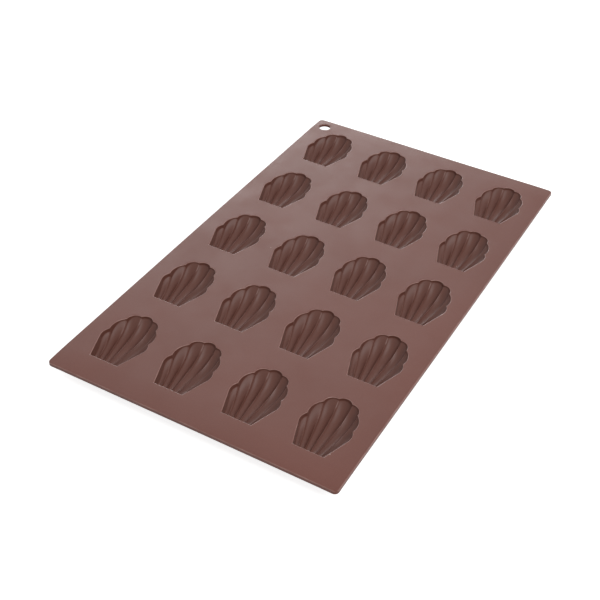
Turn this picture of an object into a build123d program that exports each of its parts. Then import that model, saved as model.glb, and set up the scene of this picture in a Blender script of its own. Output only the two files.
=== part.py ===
"""Flexible silicone baking mould with twenty small shell-shaped cups.

The mould is one moulding: a thin sheet with a hanging hole in one corner, and cups that
hang below it. It is built here as the sections that it is made up of, which meet face to
face: the cups with the ring of sheet round each, the webs between them, the four margins
and the eyelet. Millimetres, +Z up. The origin is on the surface that the cups stand on,
under the middle of the sheet. Rows are counted from the front (-Y), columns from the left.
"""
from build123d import *
import os

# Sheet
sheet_width = 175.0
sheet_length = 300.0
sheet_thickness = 2.0
corner_radius = 2.6
edge_round = 0.5

# Hollow that shapes one cake
cavity_width = 28.9
cavity_length = 41.4
cavity_depth = 8.8
hinge_width = 17.5

# How far the grid of cavities stays from the sheet's edges
side_edge_to_cavity = 10.575
front_edge_to_hinge = 16.1
back_edge_to_tip = 12.5

# Cup walls
wall = 1.3
foot_wall = 1.0
rim_border = 2.2

# Eyelet in the back left corner
hanging_hole_diameter = 8.0
eyelet_diameter = 13.0
hole_from_left = 8.2
hole_from_back = 9.0

# How far a cutting solid runs past what it cuts
overrun = 1.0

# Outline of the cavity's right half, as (share of half the width, share of the length):
# the end of the straight side, then for each lobe up to the middle one a point on its arc
# and the cusp that ends it. The middle lobe's arc goes over the tip.
shoulder_shares = (0.985, 0.384)
lobe_shares = (((0.993, 0.466), (0.896, 0.543)),
               ((0.902, 0.692), (0.678, 0.814)),
               ((0.572, 0.915), (0.273, 0.949)))

# Floor: the deepest place, as a share of the length, and how the floor climbs from there.
# A reach is where the floor would come up to the rim, as a share of the length or of half
# the width. A ridge comes up a little sooner than the flutes on either side of it.
deepest_share = 0.386
front_reach_share = 0.55
back_reach_share = 0.64
side_reach_share = 1.06
ridge_reach_share = 0.95
floor_power = 4
flute_depth_share = 0.3
flute_overlap_share = 0.12
draft_share = 0.06
station_shares = (-0.08, 0.12, 0.38, 0.62, 0.82, 0.94, 1.06)

# As many cups as the sheet takes, evenly spaced. Between two cavities there is the ring
# round each, and at least as much web as both rings.
least_gap = 4 * rim_border
grid_width = sheet_width - 2 * side_edge_to_cavity
grid_length = sheet_length - front_edge_to_hinge - back_edge_to_tip
columns = int((grid_width + least_gap) / (cavity_width + least_gap))
rows = int((grid_length + least_gap) / (cavity_length + least_gap))
column_pitch = (grid_width - cavity_width) / (columns - 1)
row_pitch = (grid_length - cavity_length) / (rows - 1)

height = cavity_depth + foot_wall
half_width = cavity_width / 2
side_flutes = len(lobe_shares)
flutes = 2 * side_flutes + 1
left_edge = -sheet_width / 2
front_edge = -sheet_length / 2
sheet_bottom = height - sheet_thickness


def column_x(column):
    """Middle of a column of cups, counted from 0 at the left."""
    return (column - (columns - 1) / 2) * column_pitch


def hinge_y(row):
    """Line of the straight hinge ends in a row of cups, counted from 0 at the front."""
    return front_edge + front_edge_to_hinge + row * row_pitch


def outline(grow, scale):
    """The shell's outline as a face at Z = 0, its hinge end's middle at the origin.

    The cavity's own outline has grow 0. The cup's outer wall is the same outline with
    every side moved out by grow. The outline is scaled about the deepest place.
    """
    width = half_width + grow
    length = cavity_length + 2 * grow
    middle = deepest_share * length

    def place(x, y):
        return (x * scale, middle + (y - middle) * scale - grow)

    def point(shares, side):
        return place(side * shares[0] * width, shares[1] * length)

    edges = []
    for side in (1, -1):
        corner = place(side * (hinge_width / 2 + grow), 0)
        shoulder = point(shoulder_shares, side)
        edges.append(Line(corner, shoulder))
        start = shoulder
        for bulge, cusp in lobe_shares:
            end = point(cusp, side)
            edges.append(ThreePointArc(start, point(bulge, side), end))
            start = end
    last_cusp = lobe_shares[-1][1]
    edges.append(ThreePointArc(point(last_cusp, 1), place(0, length), point(last_cusp, -1)))
    left_corner = place(-hinge_width / 2 - grow, 0)
    right_corner = place(hinge_width / 2 + grow, 0)
    edges.append(Line(left_corner, right_corner))
    return make_face(edges)


def floor_depth(x, y, grow, deepest, reach_share):
    """Depth at a point of the outline's own frame of a floor with a given deepest place."""
    along = y / (cavity_length + 2 * grow) - deepest_share
    across = x / (half_width + grow) / side_reach_share
    reach = back_reach_share if along > 0 else front_reach_share
    away = ((along / reach) ** 2 + across ** 2) ** 0.5
    return deepest * (1 - (away / reach_share) ** floor_power)


def flute_end(number):
    """Outline point where the ridge right of a flute ends, as shares. Flute 0 is the middle."""
    cusps = [cusp for bulge, cusp in reversed(lobe_shares)]
    return (cusps + [shoulder_shares])[number]


def ridge_x(number, y, grow):
    """Place across the cup, at a distance along it, of the ridge right of a flute.

    Ridges run from even steps along the hinge end to the cusps of the outline, and the
    last flute's right side is the straight side of the cup.
    """
    start = (2 * number + 1) / flutes * (hinge_width / 2 + grow)
    end = flute_end(number)[0] * (half_width + grow)
    run = flute_end(number)[1] * (cavity_length + 2 * grow)
    return start + (end - start) * y / run


def flute_section(number, y, grow):
    """Section across one flute: an arc between two ridges, and open space far above it.

    The arc runs a little past each ridge, so that it crosses the next flute's there.
    """
    right = ridge_x(number, y, grow)
    left = ridge_x(number - 1, y, grow) if number else -right
    middle = (left + right) / 2
    deepest = cavity_depth + grow
    ridge_deepest = deepest - flute_depth_share * (right - left)
    valley = floor_depth(middle, y, grow, deepest, 1)
    past = 1 + flute_overlap_share
    ends = []
    for x in (left, right):
        depth = floor_depth(abs(x), y, grow, ridge_deepest, ridge_reach_share)
        if number == side_flutes and x == right:
            depth = floor_depth(x, y, grow, deepest, 1)
        ends.append((middle + (x - middle) * past, (valley - depth) * past ** 2 - valley))
    (x0, z0), (x1, z1) = ends
    top = cavity_length
    edges = [ThreePointArc((x0, z0), (middle, -valley), (x1, z1)), Line((x1, z1), (x1, top)),
             Line((x1, top), (x0, top)), Line((x0, top), (x0, z0))]
    return Plane((0, y - grow, 0), x_dir=(1, 0, 0), z_dir=(0, -1, 0)) * make_face(edges)


def flute(number, grow):
    """One flute of the floor, from before the hinge end to past the end of its lobe."""
    reach = flute_end(number - 1)[1] if number else 1
    length = reach * (cavity_length + 2 * grow)
    return loft([flute_section(number, share * length, grow) for share in station_shares])


def shell_form(grow):
    """Solid of the shell below Z = 0: the hollow for grow 0, the cup's outside for wall."""
    floor = flute(0, grow)
    for number in range(1, side_flutes + 1):
        side = flute(number, grow)
        floor = floor + side + mirror(side, Plane.YZ)
    low = cavity_depth + grow + overrun
    narrowing = draft_share * overrun / low
    sides = loft([Pos(0, 0, overrun) * outline(grow, 1 + narrowing),
                  Pos(0, 0, -low) * outline(grow, 1 - draft_share)], ruled=True)
    return floor & sides


def box_between(x0, x1, y0, y1, z0, z1):
    """A box from its lowest and highest corners."""
    size = (x1 - x0, y1 - y0, z1 - z0)
    return Pos(x0, y0, z0) * Box(*size, align=(Align.MIN, Align.MIN, Align.MIN))


def cup():
    """One cup with its ring of sheet, hinge end at the origin and rim at Z = 0."""
    ring = box_between(-half_width - rim_border, half_width + rim_border,
                       -rim_border, cavity_length + rim_border, -sheet_thickness, 0)
    reach = cavity_length + column_pitch
    above_foot = box_between(-reach, reach, -reach, reach, -height, 0)
    outside = shell_form(wall) & above_foot
    return (ring + outside) - shell_form(0)


def plate():
    """The whole sheet without its holes: rounded corners and a rounded upper edge."""
    flat = Pos(0, 0, sheet_bottom) * extrude(
        RectangleRounded(sheet_width, sheet_length, corner_radius), sheet_thickness)
    return fillet(flat.edges().group_by(Axis.Z)[-1], edge_round)


def write(name, solid):
    """Write one node."""
    solid.label = name
    export_step(solid, f"parts/{name}.step")


def build():
    """Build every section of the mould and write it."""
    os.makedirs("parts", exist_ok=True)
    sheet = plate()
    hole_x = left_edge + hole_from_left
    hole_y = -front_edge - hole_from_back
    disc = Pos(hole_x, hole_y, sheet_bottom) * Cylinder(
        eyelet_diameter / 2, sheet_thickness, align=(Align.CENTER, Align.CENTER, Align.MIN))
    hole = Pos(hole_x, hole_y, sheet_bottom - overrun) * Cylinder(
        hanging_hole_diameter / 2, sheet_thickness + 2 * overrun,
        align=(Align.CENTER, Align.CENTER, Align.MIN))
    write("hanging_eyelet", (sheet & disc) - hole)

    one_cup = cup()
    for row in range(rows):
        for column in range(columns):
            placed = Pos(column_x(column), hinge_y(row), height) * one_cup
            if row == rows - 1 and column == 0:
                placed = placed - disc
            write(f"cup_row{row + 1}_col{column + 1}", placed)

    def piece(x0, x1, y0, y1):
        box = box_between(x0, x1, y0, y1, sheet_bottom - overrun, height + overrun)
        return (sheet & box) - disc

    left = column_x(0) - half_width - rim_border
    right = -left
    front = hinge_y(0) - rim_border
    back = hinge_y(rows - 1) + cavity_length + rim_border
    write("front_margin", piece(left_edge, -left_edge, front_edge, front))
    write("back_margin", piece(left_edge, -left_edge, back, -front_edge))
    write("left_margin", piece(left_edge, left, front, back))
    write("right_margin", piece(right, -left_edge, front, back))
    for row in range(rows):
        y0 = hinge_y(row) - rim_border
        y1 = hinge_y(row) + cavity_length + rim_border
        if row < rows - 1:
            next_y = hinge_y(row + 1) - rim_border
            write(f"row_web_{row + 1}_{row + 2}", piece(left, right, y1, next_y))
        for column in range(columns - 1):
            x0 = column_x(column) + half_width + rim_border
            x1 = column_x(column + 1) - half_width - rim_border
            write(f"column_web_row{row + 1}_{column + 1}_{column + 2}", piece(x0, x1, y0, y1))


build()
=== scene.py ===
"""Looks of the flexible silicone baking mould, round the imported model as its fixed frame.

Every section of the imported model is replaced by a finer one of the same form: cups with
rounded lips, blended floors and slightly deeper flutes, and a sheet that sags a little between
and beyond the cups that carry it. Forms are worked out in millimetres, in the frame of the
model: +Z up, the front row at -Y, and the surface that the cups stand on at Z = 0.
"""

import math

import bmesh
import bpy
import numpy as np
from mathutils import Matrix, Vector


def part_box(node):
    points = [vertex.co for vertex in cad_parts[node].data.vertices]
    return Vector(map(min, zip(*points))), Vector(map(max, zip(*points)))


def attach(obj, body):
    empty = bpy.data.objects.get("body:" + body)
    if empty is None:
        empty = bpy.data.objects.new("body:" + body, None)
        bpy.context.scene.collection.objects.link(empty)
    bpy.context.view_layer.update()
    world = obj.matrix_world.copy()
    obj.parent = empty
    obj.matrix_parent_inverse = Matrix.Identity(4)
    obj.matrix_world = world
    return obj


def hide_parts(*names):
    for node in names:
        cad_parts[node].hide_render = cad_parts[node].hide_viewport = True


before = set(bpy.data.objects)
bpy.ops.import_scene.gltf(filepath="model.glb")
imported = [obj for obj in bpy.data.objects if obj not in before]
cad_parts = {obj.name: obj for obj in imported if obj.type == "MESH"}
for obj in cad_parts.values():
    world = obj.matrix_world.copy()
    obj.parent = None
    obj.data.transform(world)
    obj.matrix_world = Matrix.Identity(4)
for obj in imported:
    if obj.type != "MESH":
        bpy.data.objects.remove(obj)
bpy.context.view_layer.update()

MM = 0.001

# Sheet
sheet_width = 175.0
sheet_length = 300.0
sheet_thickness = 2.0
edge_round = 0.5

# Cavities: their grid, then the hollow that shapes one cake
columns = 4
rows = 5
column_pitch = 41.65
row_pitch = 57.5
front_edge_to_hinge = 16.1
cavity_width = 28.9
cavity_length = 41.4
cavity_depth = 8.8
hinge_width = 17.5
wall = 1.3
foot_wall = 1.0
rim_border = 2.2

# Eyelet in the back left corner
hole_radius = 4.0
eyelet_radius = 6.5
hole_from_left = 8.2
hole_from_back = 9.0

# Outline and floor of a cavity, as shares of half its width, of its length or of its depth
shoulder_shares = (0.985, 0.384)
lobe_shares = (((0.993, 0.466), (0.896, 0.543)),
               ((0.902, 0.692), (0.678, 0.814)),
               ((0.572, 0.915), (0.273, 0.949)))
deepest_share = 0.386
front_reach_share = 0.55
back_reach_share = 0.64
side_reach_share = 1.06
ridge_reach_share = 0.95
floor_power = 4
flute_depth_share = 0.35
flute_overlap_share = 0.12
draft_share = 0.06
draft_overrun = 1.0

# Roundings of the lips, of the hole's edge and of the corner under the sheet
lip_round = 0.35
under_round = 0.6

# Points across a flute, along it, down a wall and round a lip, as shares
across_shares = (0, 0.05, 0.14, 0.27, 0.42, 0.58, 0.73, 0.86, 0.95)
along_shares = (0, 0.012, 0.035, 0.075, 0.13, 0.2, 0.28, 0.36, 0.44, 0.52, 0.6, 0.68,
                0.75, 0.82, 0.88, 0.93, 0.965, 0.988, 1)
wall_shares = (0.35, 0.68, 0.88)
lip_steps = 4
ring_shares = (0.4, 0.93)

# How far the corner between a wall and the floor is drawn in, and the crest of a ridge
corner_blend_share = 0.5
ridge_blend_share = 0.1

# Sheet's grid: its cells, the narrow strip that keeps the flat apart from the rounded edge,
# how near the end of a section a line may come, how near to each other points are joined and
# how near to a line they count as on it, and the turn in degrees up to which faces are flat
grid_step = 6.0
edge_strip = 0.06
least_cell_share = 0.05
weld_gap = 0.002
cut_gap = 0.001
flat_turn = 1

# Painted highlight on the ridge crests and on the sheet's outer edge, as a share of that on the
# lips, and how much of the rounded edge carries it
ridge_highlight_share = 0.35
edge_highlight_share = 0.8
highlighted_edge_share = 0.8

# The sheet's sag between the cups and beyond the outer ones, and the bow of its long edges
sag = 0.22
margin_sag = 0.45
edge_bow = 0.35
bow_share = 0.93

# Its long irregular waves: one along both sides and a lower one that slants across, with
# their lengths along x and y for a turn of one radian
crossed_waves = (21, 34)
crossed_phases = (0.7, 1.9)
slanted_waves = (47, 29)
slanted_share = 0.6

# Steepest turn between two faces that still looks smooth, in degrees
smooth_turn = 70

# Points round the eyelet, steps that settle a value, and a length to divide by instead of 0
eyelet_points = 72
settle_steps = 12
least = 1e-6

# Colours of the silicone, of the painted shade in the hollows, of the painted highlight and of
# dust
dark_silicone = (0.129, 0.041, 0.028)
pale_silicone = (0.142, 0.045, 0.031)
grain_colour = (0.098, 0.029, 0.019)
hollow_shade_colour = (0.105, 0.036, 0.024)
lip_highlight_colour = (0.55, 0.36, 0.32)
dust_colour = (0.5, 0.42, 0.38)

# How much of each shows, from least to most where it varies
grain_range = (0, 0.35)
hollow_shade_share = 0.85
lip_highlight_range = (0.15, 0.45)
dust_share = 0.4

# Gloss of the silicone, and how much smoother the hollows and the lips are
roughness_range = (0.47, 0.57)
hollow_smoother = 0.04
lip_smoother = 0.2
silicone_ior = 1.43
sheen = 0.08
sheen_roughness = 0.4

# Sizes in the surface: clouds of colour, grain, patches of the painted highlight and of gloss,
# specks of dust (the largest as a share of their spacing), and bumps
cloud_size = 55
grain_size = 0.7
lip_highlight_patch_size = 9
gloss_size = 17
speck_spacing = 13
largest_speck_share = 0.035
fine_bump_size = 0.5
fine_bump_height = 0.02
fine_bump_strength = 0.35
broad_bump_size = 14
broad_bump_height = 0.12
broad_bump_strength = 0.5

# Floor, in metres, and the even light from all round
floor_reach = 6.0
floor_grey = (0.55, 0.55, 0.55)
floor_roughness = 0.9
floor_specular = 0.1
floor_glow = 0.8
world_light = 0.55
white = (1, 1, 1, 1)

height = cavity_depth + foot_wall
half_width = cavity_width / 2
side_flutes = len(lobe_shares)
flutes = 2 * side_flutes + 1
right_shares = [share for share in across_shares if share >= 0.5]
sheet_bottom = height - sheet_thickness
half_ring = half_width + rim_border
hole_x = hole_from_left - sheet_width / 2
hole_y = sheet_length / 2 - hole_from_back


def column_x(column):
    """Middle of a column of cups, counted from 0 at the left."""
    return (column - (columns - 1) / 2) * column_pitch


def hinge_y(row):
    """Line of the straight hinge ends in a row of cups, counted from 0 at the front."""
    return -sheet_length / 2 + front_edge_to_hinge + row * row_pitch


# The form of one cup, in its own frame: hinge end at the origin and rim at Z = 0. grow is how
# far the skin lies outside the cavity's, so it is 0 for the cavity and wall for the outside.

def flute_end(number):
    """Outline point where the ridge right of a flute ends, as shares. Flute 0 is the middle."""
    cusps = [cusp for bulge, cusp in reversed(lobe_shares)]
    return (cusps + [shoulder_shares])[number]


def ridge_x(number, y, grow):
    """Place across the cup of the ridge right of a flute, at a distance along it."""
    start = (2 * number + 1) / flutes * (hinge_width / 2 + grow)
    end = flute_end(number)[0] * (half_width + grow)
    run = flute_end(number)[1] * (cavity_length + 2 * grow)
    return start + (end - start) * y / run


def floor_depth(x, y, grow, deepest, reach_share):
    """Depth at a point of a floor with a given deepest place."""
    along = y / (cavity_length + 2 * grow) - deepest_share
    across = x / (half_width + grow) / side_reach_share
    reach = back_reach_share if along > 0 else front_reach_share
    away = math.hypot(along / reach, across)
    return deepest * (1 - (away / reach_share) ** floor_power)


def circle(a, b, c):
    """Centre and radius of the circle through three points."""
    (ax, ay), (bx, by), (cx, cy) = a, b, c
    d = 2 * (ax * (by - cy) + bx * (cy - ay) + cx * (ay - by))
    a2, b2, c2 = ax * ax + ay * ay, bx * bx + by * by, cx * cx + cy * cy
    x = (a2 * (by - cy) + b2 * (cy - ay) + c2 * (ay - by)) / d
    y = (a2 * (cx - bx) + b2 * (ax - cx) + c2 * (bx - ax)) / d
    return x, y, math.hypot(ax - x, ay - y)


def flute_depth(number, x, y, grow):
    """Depth of a flute's arc at a point, for the right half's flutes, 0 to side_flutes."""
    right = ridge_x(number, y, grow)
    left = ridge_x(number - 1, y, grow) if number else -right
    middle = (left + right) / 2
    deepest = cavity_depth + grow
    ridge_deepest = deepest - flute_depth_share * (right - left)
    valley = floor_depth(middle, y, grow, deepest, 1)
    past = 1 + flute_overlap_share
    ends = []
    for side in (left, right):
        depth = floor_depth(abs(side), y, grow, ridge_deepest, ridge_reach_share)
        if number == side_flutes and side == right:
            depth = floor_depth(side, y, grow, deepest, 1)
        ends.append((middle + (side - middle) * past, (valley - depth) * past ** 2 - valley))
    cx, cz, radius = circle(ends[0], (middle, -valley), ends[1])
    below = -1 if cz > -valley else 1
    return -(cz + below * math.sqrt(max(radius ** 2 - (x - cx) ** 2, 0)))


def narrowing(depth, grow):
    """Scale of the drafted outline about the deepest place, at a depth."""
    return 1 - draft_share * depth / (cavity_depth + grow + draft_overrun)


def settle(first, step):
    """The value that a repeated step leaves as it is."""
    value = first
    for _ in range(settle_steps):
        value = step(value)
    return value


def side_foot_x(y, grow):
    """Place across of the foot of the straight side wall."""
    middle = deepest_share * (cavity_length + 2 * grow)

    def step(x):
        scale = narrowing(flute_depth(side_flutes, x, y, grow), grow)
        return scale * ridge_x(side_flutes, middle + (y - middle) / scale, grow)

    return settle(ridge_x(side_flutes, y, grow), step)


def flute_sides(number, y, grow):
    """The two sides of a flute on the floor."""
    last = number == side_flutes
    right = side_foot_x(y, grow) if last else ridge_x(number, y, grow)
    return (ridge_x(number - 1, y, grow) if number else -right), right


def arc_point(a, b, c, share):
    """Point at a share of the arc from a through b to c."""
    x, y, radius = circle(a, b, c)
    turns = [math.atan2(p[1] - y, p[0] - x) for p in (a, b, c)]
    whole = (turns[2] - turns[0]) % (2 * math.pi)
    if (turns[1] - turns[0]) % (2 * math.pi) > whole:
        whole -= 2 * math.pi
    turn = turns[0] + whole * share
    return x + radius * math.cos(turn), y + radius * math.sin(turn)


def fan_point(number, share, grow):
    """Rim point at a share of a right half flute's lobe, from its left end."""
    width, length = half_width + grow, cavity_length + 2 * grow
    right = flute_end(number)
    if number:
        left, bulge = flute_end(number - 1), lobe_shares[side_flutes - number][0]
    else:
        left, bulge = (-right[0], right[1]), (0, 1)
    return arc_point(*[(p[0] * width, p[1] * length) for p in (left, bulge, right)], share)


def floor_column(number, share, grow):
    """Floor points along one column of a right half flute, from the hinge end."""
    length = cavity_length + 2 * grow
    middle = deepest_share * length

    def x_at(y, across):
        left, right = flute_sides(number, y, grow)
        return left + (right - left) * across

    def start_step(y):
        depth = flute_depth(number, x_at(y, share), y, grow)
        return middle * (1 - narrowing(depth, grow))

    start = settle(0, start_step)
    rim_x, rim_y = fan_point(number, share, grow)

    def end_step(point):
        scale = narrowing(flute_depth(number, *point, grow), grow)
        return rim_x * scale, middle + (rim_y - middle) * scale

    end_x, end = settle((rim_x, rim_y), end_step)
    left, right = flute_sides(number, end, grow)
    end_share = share if share in (0, 1) else (end_x - left) / (right - left)

    points = []
    for along in along_shares:
        y = start + (end - start) * along
        x = x_at(y, share + (end_share - share) * along)
        points.append((x, y - grow, -flute_depth(number, x, y, grow)))
    return points


def floor_columns(grow):
    """Columns of floor points from the left side to the right, mirrored about the middle."""
    half = [floor_column(0, share, grow) for share in right_shares]
    for number in range(1, side_flutes + 1):
        half += [floor_column(number, share, grow) for share in across_shares]
    half.append(floor_column(side_flutes, 1, grow))
    return [[(-x, y, z) for x, y, z in column] for column in reversed(half)] + half


def round_loop(hinge, right, fan, left):
    """One loop from four sides that share their corners: front, right, back and left."""
    return hinge[:-1] + right[:-1] + fan[::-1][:-1] + left[::-1][:-1]


def rim_loop(grow):
    """Outline points that go with the floor's outer points, in one loop."""
    half_hinge = hinge_width / 2 + grow
    half = [((2 * share - 1) / flutes * half_hinge, fan_point(0, share, grow))
            for share in right_shares]
    for number in range(1, side_flutes + 1):
        shares = across_shares if number < side_flutes else across_shares + (1,)
        half += [((2 * number - 1 + 2 * share) / flutes * half_hinge,
                  fan_point(number, share, grow)) for share in shares]
    hinge = [(-x, 0) for x, _ in reversed(half)] + [(x, 0) for x, _ in half]
    fan = [(-p[0], p[1]) for _, p in reversed(half)] + [p for _, p in half]
    (x0, y0), (x1, y1) = hinge[-1], fan[-1]
    side = [(x0 + (x1 - x0) * share, y0 + (y1 - y0) * share) for share in along_shares]
    left = [(-x, y) for x, y in side]
    return [(x, y - grow) for x, y in round_loop(hinge, side, fan, left)]


def ring_loop():
    """Points on the ring's outer rectangle that go with the outline's points."""
    across = len(across_shares) * flutes + 1
    low, high = -rim_border, cavity_length + rim_border
    hinge = [(half_ring * (2 * i / (across - 1) - 1), low) for i in range(across)]
    shoulder = shoulder_shares[1] * cavity_length
    side = [(half_ring, low + (shoulder - low) * share) for share in along_shares]
    corner = math.atan2(high - shoulder, half_ring)
    turns = [math.pi * (1 - i / (across - 1)) for i in range(across)]
    nearest = min(range(across), key=lambda i: abs(turns[i] - corner))
    fan = []
    for i, turn in enumerate(turns):
        if i in (nearest, across - 1 - nearest):
            turn = corner if i == nearest else math.pi - corner
        reach = min(half_ring / max(abs(math.cos(turn)), least),
                    (high - shoulder) / max(math.sin(turn), least))
        fan.append((reach * math.cos(turn), shoulder + reach * math.sin(turn)))
    return round_loop(hinge, side, fan, [(-x, y) for x, y in side])


def drawn_in(blend, point, before, after):
    """A corner's point, drawn in towards the middle of the points on either side of it."""
    return tuple(p + ((a + b) / 2 - p) * blend for p, a, b in zip(point, before, after))


def soften(floor, beside):
    """Take the sharpness off the ridges, and off the corner between the floor and the wall.

    beside is the loop of wall points that goes with the floor's outer points.
    """
    last, end = len(floor) - 1, len(along_shares) - 1
    for i in range(len(across_shares), last, len(across_shares)):
        floor[i] = [drawn_in(ridge_blend_share, *points)
                    for points in zip(floor[i], floor[i - 1], floor[i + 1])]
    corner = round_loop([(i, 0) for i in range(last + 1)], [(last, j) for j in range(end + 1)],
                        [(i, end) for i in range(last + 1)], [(0, j) for j in range(end + 1)])
    for (i, j), wall_point in zip(corner, beside):
        inner = floor[min(max(i, 1), last - 1)][min(max(j, 1), end - 1)]
        floor[i][j] = drawn_in(corner_blend_share, floor[i][j], wall_point, inner)


def cup_rows(grow, top, radius, drop):
    """Loops down the wall from a rounded corner at a height, and the floor below.

    drop is how far the corner may come down at each point of the loop.
    """
    columns_of_floor = floor_columns(grow)
    hinge = [column[0] for column in columns_of_floor]
    fan = [column[-1] for column in columns_of_floor]
    foot = round_loop(hinge, columns_of_floor[-1], fan, columns_of_floor[0])
    loops = []
    for step in range(lip_steps + 1):
        turn = math.pi / 2 * step / lip_steps
        loop = rim_loop(grow + radius * (1 - math.sin(turn)))
        down = 1 - math.cos(turn)
        loops.append([(x, y, top - min(radius, drop(f)) * down)
                      for (x, y), f in zip(loop, foot)])
    lowest = loops[-1]
    for share in wall_shares:
        loops.append([tuple(p + (q - p) * share for p, q in zip(a, b))
                      for a, b in zip(lowest, foot)])
    soften(columns_of_floor, loops[-1])
    return loops, columns_of_floor


class Solid:
    """Points and faces of one piece, with a value at each point for lips and hollows."""

    def __init__(self):
        self.points, self.faces, self.lips, self.hollows = [], [], [], []

    def add(self, points, lip=0.0, hollow=0.0):
        """Numbers of the points that it adds."""
        first = len(self.points)
        self.points += points
        self.lips += [lip] * len(points)
        self.hollows += [hollow] * len(points)
        return list(range(first, len(self.points)))

    def bridge(self, a, b):
        """Faces between two loops of as many points."""
        count = len(a)
        for i in range(count):
            j = (i + 1) % count
            self.faces.append((a[i], a[j], b[j], b[i]))

    def fill(self, grid):
        """Faces of a grid of points."""
        for a, b in zip(grid, grid[1:]):
            for i in range(len(a) - 1):
                self.faces.append((a[i], b[i], b[i + 1], a[i + 1]))


def cup_skin(solid, outer, grow, top, radius, drop, is_cavity):
    """One side of the cup's skin, from the ring's outer loop to the middle of the floor.

    Nothing of it goes below the foot.
    """
    loops, floor = cup_rows(grow, top, radius, drop)
    first = loops[0]
    hollow = 1.0 if is_cavity else 0.0
    previous = outer
    ring = [solid.points[i] for i in outer]
    for share in ring_shares:
        between = solid.add([tuple(p + (q - p) * share for p, q in zip(a, b))
                             for a, b in zip(ring, first)])
        solid.bridge(previous, between)
        previous = between
    for number, loop in enumerate(loops):
        # The lip rows carry the painted highlight, and the rows below the lip the hollows'
        # painted shade
        lip = 1.0 if is_cavity and 0 < number < lip_steps else 0.0
        row = solid.add([(x, y, max(z, -height)) for x, y, z in loop], lip,
                        hollow if number >= lip_steps else 0.0)
        solid.bridge(previous, row)
        previous = row
    grid = []
    # Ridge crests carry a weaker painted highlight, and the floor the hollows' painted shade
    for number, column in enumerate(floor):
        on_ridge = number % len(across_shares) == 0 and 0 < number < len(floor) - 1
        grid.append(solid.add([(x, y, min(max(z, -height), top)) for x, y, z in column],
                              ridge_highlight_share if is_cavity and on_ridge else 0.0, hollow))
    edge = round_loop([c[0] for c in grid], grid[-1], [c[-1] for c in grid], grid[0])
    solid.bridge(previous, edge)
    solid.fill(grid)


def off_eyelet(ring, place):
    """The ring of a cup at a place, with its points moved out of the eyelet's disc.

    They go to the disc's edge, and the nearest ones to where the ring's sides meet it.
    """
    back = cavity_length + rim_border
    disc_x, disc_y = hole_x - place[0], hole_y - place[1]
    moved = []
    for x, y in ring:
        dx, dy = x - disc_x, y - disc_y
        scale = max(eyelet_radius / math.hypot(dx, dy), 1)
        moved.append((disc_x + dx * scale, disc_y + dy * scale))
    right = disc_x + math.sqrt(eyelet_radius ** 2 - (back - disc_y) ** 2)
    below = disc_y - math.sqrt(eyelet_radius ** 2 - (half_ring + disc_x) ** 2)
    for meet in ((right, back), (-half_ring, below)):
        nearest = min(range(len(moved)), key=lambda i: math.dist(moved[i], meet))
        moved[nearest] = meet
    return moved


def cup_solid(outline):
    """One cup with its ring of sheet, which ends at an outline."""
    solid = Solid()
    above = solid.add([(x, y, 0.0) for x, y in outline])
    below = solid.add([(x, y, -sheet_thickness) for x, y in outline])
    solid.bridge(above, below)
    cup_skin(solid, above, grow=0.0, top=0.0, radius=lip_round,
             drop=lambda foot: lip_round, is_cavity=True)
    cup_skin(solid, below, grow=wall, top=-sheet_thickness, radius=under_round,
             drop=lambda foot: max(-foot[2] - sheet_thickness, 0.0), is_cavity=False)
    return solid


def waves(x, y):
    """Long irregular waves of the sheet, from 0 to 1."""
    crossed = (np.sin(x / crossed_waves[0] + crossed_phases[0])
               * np.cos(y / crossed_waves[1] + crossed_phases[1]))
    slanted = slanted_share * np.sin(x / slanted_waves[0] - y / slanted_waves[1])
    return 0.5 + (crossed + slanted) / (2 * (1 + slanted_share))


def lie(points):
    """Where points of the flat mould come to lie once the sheet sags and bows a little.

    The feet stay where they are, and the sheet moves most.
    """
    p = np.array(points, float)
    x, y, z = p[:, 0], p[:, 1], p[:, 2]
    carried = np.clip(z / sheet_bottom, 0, 1) ** 2
    beyond_side = np.clip(np.abs(x) - column_x(columns - 1) - half_width, 0, None)
    beyond_end = np.clip(np.abs(y) - sheet_length / 2 + front_edge_to_hinge, 0, None)
    margin = (beyond_side ** 2 + beyond_end ** 2) / front_edge_to_hinge ** 2
    down = sag * waves(x, y) + margin_sag * margin
    across = x / (sheet_width / 2)
    bow = edge_bow * across * (np.cos(math.pi * y / sheet_length * bow_share) - 1)
    return np.stack([x + bow, y, z - carried * down], axis=1)


def finish_mesh(name, mesh, node):
    """Make a finished mesh a piece of silicone that stands for a node."""
    mesh.shade_smooth()
    mesh.set_sharp_from_angle(angle=math.radians(smooth_turn))
    mesh.materials.append(silicone)
    piece = bpy.data.objects.new(name, mesh)
    bpy.context.collection.objects.link(piece)
    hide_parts(node)
    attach(piece, "root")


def solid_piece(name, solid, place, node):
    """A piece from a solid's points, moved to its place."""
    points = lie([(x + place[0], y + place[1], z + place[2]) for x, y, z in solid.points])
    mesh = bpy.data.meshes.new(name)
    mesh.from_pydata((points * MM).tolist(), [], solid.faces)
    for attribute, values in (("lip", solid.lips), ("hollow", solid.hollows)):
        data = mesh.attributes.new(attribute, "FLOAT", "POINT")
        data.data.foreach_set("value", np.array(values, np.float32))
    bm = bmesh.new()
    bm.from_mesh(mesh)
    bmesh.ops.recalc_face_normals(bm, faces=bm.faces)
    bm.to_mesh(mesh)
    bm.free()
    finish_mesh(name, mesh, node)


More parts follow.
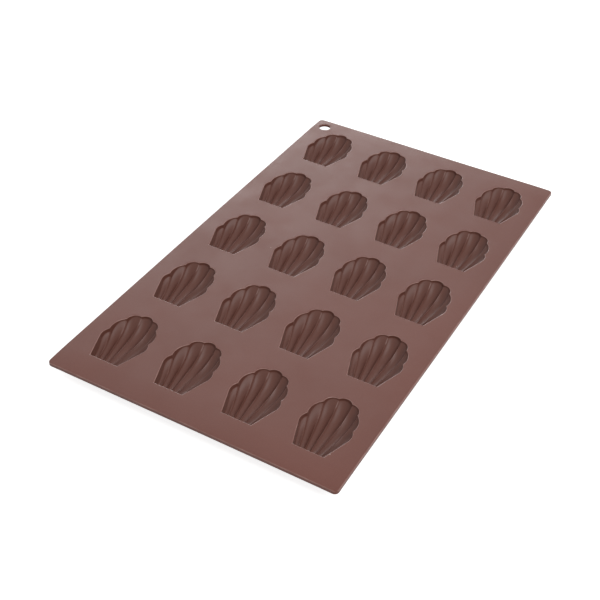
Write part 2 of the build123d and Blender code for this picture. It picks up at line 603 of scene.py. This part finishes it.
def sheet_piece(name, node):
    """A flat section of the sheet, cut into a grid so that it can sag."""
    bm = bmesh.new()
    bm.from_mesh(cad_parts[node].data)
    bmesh.ops.remove_doubles(bm, verts=bm.verts, dist=weld_gap * MM)
    bmesh.ops.dissolve_limit(bm, angle_limit=math.radians(flat_turn),
                             verts=bm.verts, edges=bm.edges)
    low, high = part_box(node)
    for axis, size in ((0, sheet_width), (1, sheet_length)):
        normal = Vector((0, 0, 0))
        normal[axis] = 1
        start, end = low[axis] / MM, high[axis] / MM
        beside_edge = size / 2 - edge_round - edge_strip
        first = math.ceil(start / grid_step + least_cell_share)
        last = math.floor(end / grid_step - least_cell_share)
        lines = [-beside_edge, beside_edge]
        lines += [line * grid_step for line in range(first, last + 1)]
        for line in lines:
            if start < line < end:
                geometry = bm.verts[:] + bm.edges[:] + bm.faces[:]
                bmesh.ops.bisect_plane(bm, geom=geometry, dist=cut_gap * MM,
                                       plane_co=normal * line * MM, plane_no=normal)
    bmesh.ops.recalc_face_normals(bm, faces=bm.faces)
    mesh = bpy.data.meshes.new(name)
    bm.to_mesh(mesh)
    bm.free()
    mesh.attributes.remove(mesh.attributes["custom_normal"])
    flat = np.array([v.co for v in mesh.vertices], float) / MM
    mesh.vertices.foreach_set("co", (lie(flat) * MM).astype(np.float32).ravel())
    inset = np.minimum(sheet_width / 2 - np.abs(flat[:, 0]),
                       sheet_length / 2 - np.abs(flat[:, 1]))
    # The sheet's rounded outer edge carries the painted highlight
    highlighted = edge_round * highlighted_edge_share
    on_edge = (inset < highlighted) & (flat[:, 2] > height - highlighted)
    lips = mesh.attributes.new("lip", "FLOAT", "POINT")
    lips.data.foreach_set("value", on_edge.astype(np.float32) * edge_highlight_share)
    mesh.attributes.new("hollow", "FLOAT", "POINT")
    mesh.update()
    finish_mesh(name, mesh, node)


def eyelet_solid():
    """The disc of sheet round the hanging hole, with the hole's edges rounded."""
    profile = [(eyelet_radius, height), ((eyelet_radius + hole_radius + lip_round) / 2, height)]
    flat_points = len(profile)
    for step in range(lip_steps + 1):
        turn = math.pi / 2 * step / lip_steps
        profile.append((hole_radius + lip_round * (1 - math.sin(turn)),
                        height - lip_round * (1 - math.cos(turn))))
    middle = sheet_bottom + sheet_thickness / 2
    profile += [(radius, 2 * middle - z) for radius, z in reversed(profile)]
    solid = Solid()
    loops = []
    for number, (radius, z) in enumerate(profile):
        turns = [2 * math.pi * i / eyelet_points for i in range(eyelet_points)]
        points = [(radius * math.cos(turn), radius * math.sin(turn), z) for turn in turns]
        # The hole's rounded edge carries the painted highlight
        on_lip = flat_points < number < flat_points + lip_steps
        loops.append(solid.add(points, 1.0 if on_lip else 0.0))
    for a, b in zip(loops, loops[1:] + loops[:1]):
        solid.bridge(a, b)
    return solid


def make_cups():
    """All the cups. They are alike but for the one that makes way for the eyelet's disc."""
    common_form = cup_solid(ring_loop())
    for row in range(rows):
        for column in range(columns):
            node = f"cup_row{row + 1}_col{column + 1}"
            place = (column_x(column), hinge_y(row), height)
            beside_eyelet = row == rows - 1 and column == 0
            form = cup_solid(off_eyelet(ring_loop(), place)) if beside_eyelet else common_form
            solid_piece(f"{node}_skin", form, place, node)


def make_sheet():
    """The webs between the cups, the margins round them, and the eyelet."""
    for row in range(rows):
        if row < rows - 1:
            node = f"row_web_{row + 1}_{row + 2}"
            sheet_piece(f"{node}_skin", node)
        for column in range(1, columns):
            node = f"column_web_row{row + 1}_{column}_{column + 1}"
            sheet_piece(f"{node}_skin", node)
    for side in ("front", "back", "left", "right"):
        sheet_piece(f"{side}_margin_skin", f"{side}_margin")
    solid_piece("hanging_eyelet_skin", eyelet_solid(), (hole_x, hole_y, 0), "hanging_eyelet")


def new_material(name):
    """A material with nodes, and its node tree and shader."""
    material = bpy.data.materials.new(name)
    material.use_nodes = True
    tree = material.node_tree
    return material, tree, tree.nodes["Principled BSDF"]


def link(tree, start, end):
    """Join an output of a node to an input."""
    tree.links.new(start, end)


def noise(tree, coordinates, size, detail):
    """Noise with features of about a size."""
    node = tree.nodes.new("ShaderNodeTexNoise")
    node.inputs["Scale"].default_value = 1 / (size * MM)
    node.inputs["Detail"].default_value = detail
    link(tree, coordinates, node.inputs["Vector"])
    return node.outputs["Fac"]


def mapped(tree, value, low, high, start=0.3, end=0.7):
    """A value's range start to end, spread from low to high.

    The usual range is the one that a noise covers.
    """
    node = tree.nodes.new("ShaderNodeMapRange")
    node.inputs["From Min"].default_value = start
    node.inputs["From Max"].default_value = end
    node.inputs["To Min"].default_value = low
    node.inputs["To Max"].default_value = high
    link(tree, value, node.inputs["Value"])
    return node.outputs["Result"]


def maths(tree, operation, a, b):
    """A Math node of two sockets or numbers."""
    node = tree.nodes.new("ShaderNodeMath")
    node.operation = operation
    for socket, value in zip(node.inputs, (a, b)):
        if isinstance(value, (int, float)):
            socket.default_value = value
        else:
            link(tree, value, socket)
    return node.outputs[0]


def mixed(tree, factor, a, b):
    """A colour mixed from two colours or sockets."""
    node = tree.nodes.new("ShaderNodeMix")
    node.data_type = "RGBA"
    link(tree, factor, node.inputs["Factor"])
    # The node's sockets for colours share their names with those for numbers
    colour_a, colour_b, result = node.inputs[6], node.inputs[7], node.outputs[2]
    for socket, value in ((colour_a, a), (colour_b, b)):
        if isinstance(value, tuple):
            socket.default_value = (*value, 1)
        else:
            link(tree, value, socket)
    return result


def painted(tree, name):
    """The value that a mesh carries at each of its points under a name."""
    node = tree.nodes.new("ShaderNodeAttribute")
    node.attribute_name = name
    return node.outputs["Fac"]


def bump(tree, bumps, strength, most):
    """A bump node for bumps that are at most so many millimetres high."""
    node = tree.nodes.new("ShaderNodeBump")
    node.inputs["Strength"].default_value = strength
    node.inputs["Distance"].default_value = most * MM
    link(tree, bumps, node.inputs["Height"])
    return node


def speck_mask(tree, where):
    """1 on small scattered specks of dust of different sizes, 0 elsewhere."""
    specks = tree.nodes.new("ShaderNodeTexVoronoi")
    specks.inputs["Scale"].default_value = 1 / (speck_spacing * MM)
    link(tree, where, specks.inputs["Vector"])
    size = maths(tree, "MULTIPLY", specks.outputs["Color"], largest_speck_share)
    return maths(tree, "LESS_THAN", specks.outputs["Distance"], size)


def make_silicone():
    """Moulded silicone: matt with a fine tool grain, smoother in the hollows.

    The hollows carry painted shade, and lips, ridge crests and the outer edge a painted
    highlight.
    """
    material, tree, shader = new_material("silicone")
    where = tree.nodes.new("ShaderNodeTexCoord").outputs["Object"]
    hollow = painted(tree, "hollow")
    lip = painted(tree, "lip")

    clouds = mapped(tree, noise(tree, where, cloud_size, detail=3), low=0, high=1)
    colour = mixed(tree, clouds, dark_silicone, pale_silicone)
    grain = mapped(tree, noise(tree, where, grain_size, detail=2), *grain_range)
    colour = mixed(tree, grain, colour, grain_colour)
    # Painted shade: the colour in the hollows is drawn towards a darker brown
    painted_hollow_shade = maths(tree, "MULTIPLY", hollow, hollow_shade_share)
    colour = mixed(tree, painted_hollow_shade, colour, hollow_shade_colour)
    # Painted highlight: lips, ridge crests and the sheet's rounded edge are lightened in
    # patches
    highlight_patches = mapped(tree, noise(tree, where, lip_highlight_patch_size, detail=2), *lip_highlight_range)
    highlighted = maths(tree, "MULTIPLY", lip, highlight_patches)
    colour = mixed(tree, highlighted, colour, lip_highlight_colour)
    dusty = maths(tree, "MULTIPLY", speck_mask(tree, where), dust_share)
    colour = mixed(tree, dusty, colour, dust_colour)
    link(tree, colour, shader.inputs["Base Color"])

    rough = mapped(tree, noise(tree, where, gloss_size, detail=4), *roughness_range)
    rough = maths(tree, "ADD", rough, maths(tree, "MULTIPLY", hollow, -hollow_smoother))
    rough = maths(tree, "ADD", rough, maths(tree, "MULTIPLY", lip, -lip_smoother))
    link(tree, rough, shader.inputs["Roughness"])

    fine = bump(tree, noise(tree, where, fine_bump_size, detail=3),
                fine_bump_strength, fine_bump_height)
    broad = bump(tree, noise(tree, where, broad_bump_size, detail=2),
                 broad_bump_strength, broad_bump_height)
    link(tree, fine.outputs["Normal"], broad.inputs["Normal"])
    link(tree, broad.outputs["Normal"], shader.inputs["Normal"])
    shader.inputs["IOR"].default_value = silicone_ior
    shader.inputs["Sheen Weight"].default_value = sheen
    shader.inputs["Sheen Roughness"].default_value = sheen_roughness
    return material


def seen(tree):
    """1 for rays from the camera, straight or by way of a mirror or glass, 0 for light."""
    path = tree.nodes.new("ShaderNodeLightPath")
    mirrored = maths(tree, "MAXIMUM", path.outputs["Is Glossy Ray"],
                     path.outputs["Is Transmission Ray"])
    return maths(tree, "MAXIMUM", path.outputs["Is Camera Ray"], mirrored)


def make_floor():
    """A pale floor that shows white where nothing shades it."""
    material, tree, shader = new_material("floor")
    shader.inputs["Base Color"].default_value = (*floor_grey, 1)
    shader.inputs["Roughness"].default_value = floor_roughness
    shader.inputs["Specular IOR Level"].default_value = floor_specular
    shader.inputs["Emission Color"].default_value = white
    glow = maths(tree, "MULTIPLY", seen(tree), floor_glow)
    link(tree, glow, shader.inputs["Emission Strength"])
    mesh = bpy.data.meshes.new("floor")
    turns = ((-1, -1), (1, -1), (1, 1), (-1, 1))
    corners = [(x * floor_reach, y * floor_reach, 0) for x, y in turns]
    mesh.from_pydata(corners, [], [(0, 1, 2, 3)])
    mesh.materials.append(material)
    floor = bpy.data.objects.new("floor", mesh)
    bpy.context.collection.objects.link(floor)


def area_light(name, location, size, power):
    """A square soft box that looks at the mould, in metres and watts."""
    lamp = bpy.data.lights.new(name, "AREA")
    lamp.size = size
    lamp.energy = power
    holder = bpy.data.objects.new(name, lamp)
    bpy.context.collection.objects.link(holder)
    holder.location = location
    holder.rotation_euler = (-Vector(location)).to_track_quat("-Z", "Y").to_euler()


def make_world():
    """Even light from all round, seen as white."""
    world = bpy.data.worlds.new("studio")
    bpy.context.scene.world = world
    world.use_nodes = True
    tree = world.node_tree
    background = tree.nodes["Background"]
    background.inputs["Color"].default_value = white
    strength = mapped(tree, seen(tree), low=world_light, high=1, start=0, end=1)
    link(tree, strength, background.inputs["Strength"])


def make_camera():
    """The photograph's view: fitted focal length, direction, roll and distance."""
    image_width = 600
    focal_px = 1089.26
    azimuth, elevation, roll = map(math.radians, (28.130, 39.415, 2.220))
    distance = 624.44
    target = Vector((3.20, -31.98, sheet_bottom))
    centre_px = 305.37
    back = Vector((math.sin(azimuth) * math.cos(elevation),
                   -math.cos(azimuth) * math.cos(elevation), math.sin(elevation)))
    right = Vector((math.cos(azimuth), math.sin(azimuth), 0))
    up = back.cross(right)
    x_axis = math.cos(roll) * right + math.sin(roll) * up
    y_axis = math.cos(roll) * up - math.sin(roll) * right
    place = Matrix((x_axis, y_axis, back)).transposed().to_4x4()
    place.translation = (target + back * distance) * MM
    data = bpy.data.cameras.new("camera")
    data.sensor_width = 36
    data.lens = focal_px / image_width * data.sensor_width
    data.shift_x = (image_width / 2 - centre_px) / image_width
    data.clip_start = 0.01
    camera = bpy.data.objects.new("camera", data)
    bpy.context.collection.objects.link(camera)
    camera.matrix_world = place
    bpy.context.scene.camera = camera


silicone = make_silicone()
make_cups()
make_sheet()
make_floor()
make_world()
area_light("key", location=(0.95, -0.2, 1.1), size=0.9, power=11)
area_light("back", location=(-1.0, 1.5, 0.55), size=0.9, power=15)
make_camera()
bpy.context.scene.view_settings.view_transform = "Standard"

bpy.context.view_layer.update()
